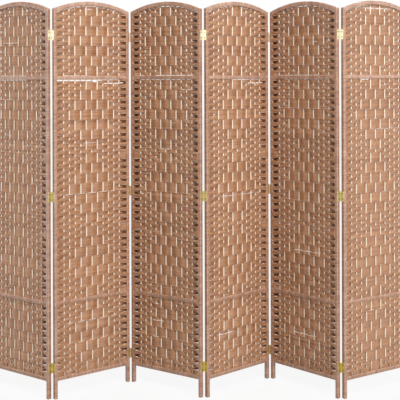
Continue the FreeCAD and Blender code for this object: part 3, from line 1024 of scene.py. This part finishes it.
def add_screw(mesh, settings, matrix):
    """A slotted oval-head screw in two halves, its head standing just proud of the leaf."""
    radius, rise = settings.screw_radius, settings.screw_rise
    slot_half = SCREW_SLOT / 2
    limit = math.asin(slot_half / radius)
    for sign in (-1, 1):
        rim, crown = [], []
        for step in range(SCREW_STEPS + 1):
            angle = limit + (math.pi - 2 * limit) * step / SCREW_STEPS
            x, y = radius * math.cos(angle), radius * math.sin(angle)
            rim.append(mesh.verts.new(matrix @ Vector((x, sign * y, -SCREW_SINK))))
            inner = max(y * SCREW_CROWN, slot_half)
            crown.append(mesh.verts.new(matrix @ Vector((x * SCREW_CROWN, sign * inner, rise))))
        join_rings(mesh, (rim, crown))


def hinge_matrix(side, face, level):
    """From a leaf made for a right edge with its pin behind, to the edge, face and level given."""
    turns = {
        (RIGHT, BACK): Matrix.Identity(4),
        (LEFT, BACK): Matrix.Rotation(math.pi, 4, "Y"),
        (RIGHT, FRONT): Matrix.Rotation(math.pi, 4, "X"),
        (LEFT, FRONT): Matrix.Rotation(math.pi, 4, "Z"),
    }
    place = Matrix.Translation((side * PIN_REACH, face * PIN_OFFSET, level))
    return place @ turns[(side, face)]


def make_leaves(name, side, face, holds_pin, material):
    """The three leaves on one edge of a panel."""
    mesh = bmesh.new()
    knuckle = (LEAF_HEIGHT - 2 * KNUCKLE_GAP) / 3
    feet = (-LEAF_HEIGHT / 2, LEAF_HEIGHT / 2 - knuckle) if holds_pin else (-knuckle / 2,)
    for level in HINGE_LEVELS:
        matrix = hinge_matrix(side, face, level)
        add_leaf_plate(mesh, matrix)
        for foot in feet:
            add_knuckle(mesh, foot, knuckle, matrix)
    return finish_bmesh(mesh, name, material)


def make_screws(name, side, face, settings, material):
    """The two screws of each of the three leaves on one edge of a panel."""
    mesh = bmesh.new()
    random = np.random.default_rng([SCREW_SEED, *name.encode()])
    for level in HINGE_LEVELS:
        for lift in (-settings.screw_spacing / 2, settings.screw_spacing / 2):
            spot = (HALF_WIDTH - PIN_REACH + LEAF_THICKNESS, -SCREW_PLACE, lift)
            slot_turn = Matrix.Rotation(random.uniform(0, math.pi), 4, "Z")
            turn = Matrix.Rotation(math.pi / 2, 4, "Y") @ slot_turn
            seat = hinge_matrix(side, face, level) @ Matrix.Translation(spot)
            add_screw(mesh, settings, seat @ turn)
    return finish_bmesh(mesh, name, material)


def finish_bmesh(mesh, name, material):
    """Turn a bmesh into an object with flat ends and smooth rounds."""
    bmesh.ops.recalc_face_normals(mesh, faces=mesh.faces)
    data = bpy.data.meshes.new(name)
    mesh.to_mesh(data)
    mesh.free()
    data.materials.append(material)
    data.shade_smooth()
    data.set_sharp_from_angle(angle=SHARP_ANGLE)
    return link_object(name, data)


class SCREEN_OT_hinges(bpy.types.Operator):
    """Make the leaves and screws of every hinge, and finish the pins"""

    bl_idname = "screen.hinges"
    bl_label = "Make the hinges"

    def execute(self, context):
        settings = context.scene.screen_hinges
        brass = brass_material(
            "pressed_sheet_brass", tuple(settings.brass_colour), tuple(settings.tarnish_and_dim_colour),
            roughness=0.3,
        )
        screw_colour = tuple(settings.screw_colour)
        screw_metal = brass_material(
            "turned_screw_brass", screw_colour, screw_colour, roughness=0.45
        )
        for joint, face in enumerate(PIN_FACES, start=1):
            name = f"hinge_{joint}{joint + 1}"
            for word, side, number in (("left", RIGHT, joint), ("right", LEFT, joint + 1)):
                body, place = f"panel_{number}", panel_place(number)
                leaves = make_leaves(
                    f"{name}_{word}_leaf_plates", side, face, word == "left", brass
                )
                settle(leaves, place, body, "brass", f"{name}_{word}_leaves")
                screws = make_screws(f"{name}_{word}_screws", side, face, settings, screw_metal)
                settle(screws, place, body, "brass")
            for slot in frame["nodes"][f"{name}_pins"].material_slots:
                slot.material = brass
        return {"FINISHED"}


def background_share(tree):
    """1 for the rays that show the background: from the camera, mirrored or through glass."""
    path = add_node(tree, "ShaderNodeLightPath").outputs
    first = add_node(
        tree, "ShaderNodeMath", {0: path["Is Camera Ray"], 1: path["Is Glossy Ray"]},
        operation="MAXIMUM",
    )
    both = add_node(
        tree, "ShaderNodeMath", {0: first.outputs[0], 1: path["Is Transmission Ray"]},
        operation="MAXIMUM",
    )
    return both.outputs[0]


def floor_material(colour):
    """Smooth painted board: matt and pale, white to the camera but for the screen's shadow."""
    material, tree = new_material("matt_painted_board")
    paint = add_node(tree, "ShaderNodeBsdfDiffuse", {"Color": colour})
    glow = add_node(tree, "ShaderNodeEmission", {"Color": WHITE, "Strength": FLOOR_GLOW})
    faint_colour = (*(FLOOR_SHADOW * part for part in colour[:3]), 1)
    faint = add_node(tree, "ShaderNodeBsdfDiffuse", {"Color": faint_colour})
    seen = add_node(tree, "ShaderNodeAddShader", {0: glow.outputs[0], 1: faint.outputs[0]})
    mixed = add_node(
        tree, "ShaderNodeMixShader",
        {0: background_share(tree), 1: paint.outputs[0], 2: seen.outputs[0]},
    )
    add_node(tree, "ShaderNodeOutputMaterial", {"Surface": mixed.outputs[0]})
    return material


def white_studio(surround):
    """A world that lights evenly, and looks white to the camera and in mirrors."""
    world = bpy.data.worlds.new("white_studio")
    world.use_nodes = True
    tree = world.node_tree
    tree.nodes.clear()
    light = add_node(tree, "ShaderNodeBackground", {"Color": WHITE, "Strength": surround})
    seen = add_node(tree, "ShaderNodeBackground", {"Color": WHITE, "Strength": 1.0})
    mixed = add_node(
        tree, "ShaderNodeMixShader",
        {0: background_share(tree), 1: light.outputs[0], 2: seen.outputs[0]},
    )
    add_node(tree, "ShaderNodeOutputWorld", {"Surface": mixed.outputs[0]})
    return world


def add_softbox(name, place, power, width):
    """A square lamp turned to the middle of the screen."""
    lamp = bpy.data.lights.new(name, "AREA")
    lamp.size = width
    lamp.energy = power
    away = Vector(place) - Vector(LAMP_AIM)
    turn = away.to_track_quat("Z", "Y").to_matrix().to_4x4()
    link_object(name, lamp).matrix_world = Matrix.Translation(place) @ turn


class SCREEN_OT_stage(bpy.types.Operator):
    """Set out the floor, the light and the camera"""

    bl_idname = "screen.stage"
    bl_label = "Set the stage"

    def execute(self, context):
        scene = context.scene
        settings = scene.screen_stage
        scene.view_settings.view_transform = "Standard"

        mesh = bpy.data.meshes.new("floor")
        corners = ((-1, -1), (1, -1), (1, 1), (-1, 1))
        mesh.from_pydata(
            [(x * FLOOR_REACH, y * FLOOR_REACH, 0) for x, y in corners], [], [(0, 1, 2, 3)]
        )
        mesh.materials.append(floor_material(tuple(settings.floor_colour)))
        link_object("floor", mesh)

        scene.world = white_studio(settings.surround)
        for name, setting, place, width in LAMPS:
            add_softbox(name, place, getattr(settings, setting), width)

        data = bpy.data.cameras.new("camera")
        data.sensor_width = CAMERA_SENSOR
        data.lens = CAMERA_LENS
        data.shift_y = CAMERA_SHIFT
        camera = link_object("camera", data)
        lean = Matrix.Rotation(CAMERA_LEAN, 4, "Y")
        upright = Matrix.Rotation(math.pi / 2, 4, "X")
        camera.matrix_world = Matrix.Translation(CAMERA_PLACE) @ lean @ upright
        scene.camera = camera
        return {"FINISHED"}


class SCREEN_PT_panel(bpy.types.Panel):
    """Sizes, colours and steps of the screen"""

    bl_label = "Woven folding screen"
    bl_idname = "SCREEN_PT_panel"
    bl_space_type = "VIEW_3D"
    bl_region_type = "UI"
    bl_category = "Screen"

    def draw(self, context):
        layout = self.layout
        for pointer, operators in STEPS:
            box = layout.box()
            settings = getattr(context.scene, pointer)
            for name in settings.__annotations__:
                box.prop(settings, name)
            for operator in operators:
                box.operator(operator.bl_idname)


STEPS = (
    ("screen_weave", (SCREEN_OT_weave,)),
    ("screen_frame", (SCREEN_OT_wind_frames, SCREEN_OT_stakes)),
    ("screen_hinges", (SCREEN_OT_hinges,)),
    ("screen_stage", (SCREEN_OT_stage,)),
)
SETTINGS = {
    "screen_weave": ScreenWeaveSettings,
    "screen_frame": ScreenFrameSettings,
    "screen_hinges": ScreenHingeSettings,
    "screen_stage": ScreenStageSettings,
}
OPERATORS = tuple(operator for _, operators in STEPS for operator in operators)
CLASSES = (*SETTINGS.values(), *OPERATORS, SCREEN_PT_panel)


def register():
    for item in CLASSES:
        bpy.utils.register_class(item)
    for pointer, group in SETTINGS.items():
        setattr(bpy.types.Scene, pointer, PointerProperty(type=group))


def unregister():
    for pointer in SETTINGS:
        delattr(bpy.types.Scene, pointer)
    for item in reversed(CLASSES):
        bpy.utils.unregister_class(item)


def main():
    register()
    bpy.ops.screen.stage()
    bpy.ops.screen.weave()
    bpy.ops.screen.wind_frames()
    bpy.ops.screen.stakes()
    bpy.ops.screen.hinges()


if __name__ == "__main__":
    main()
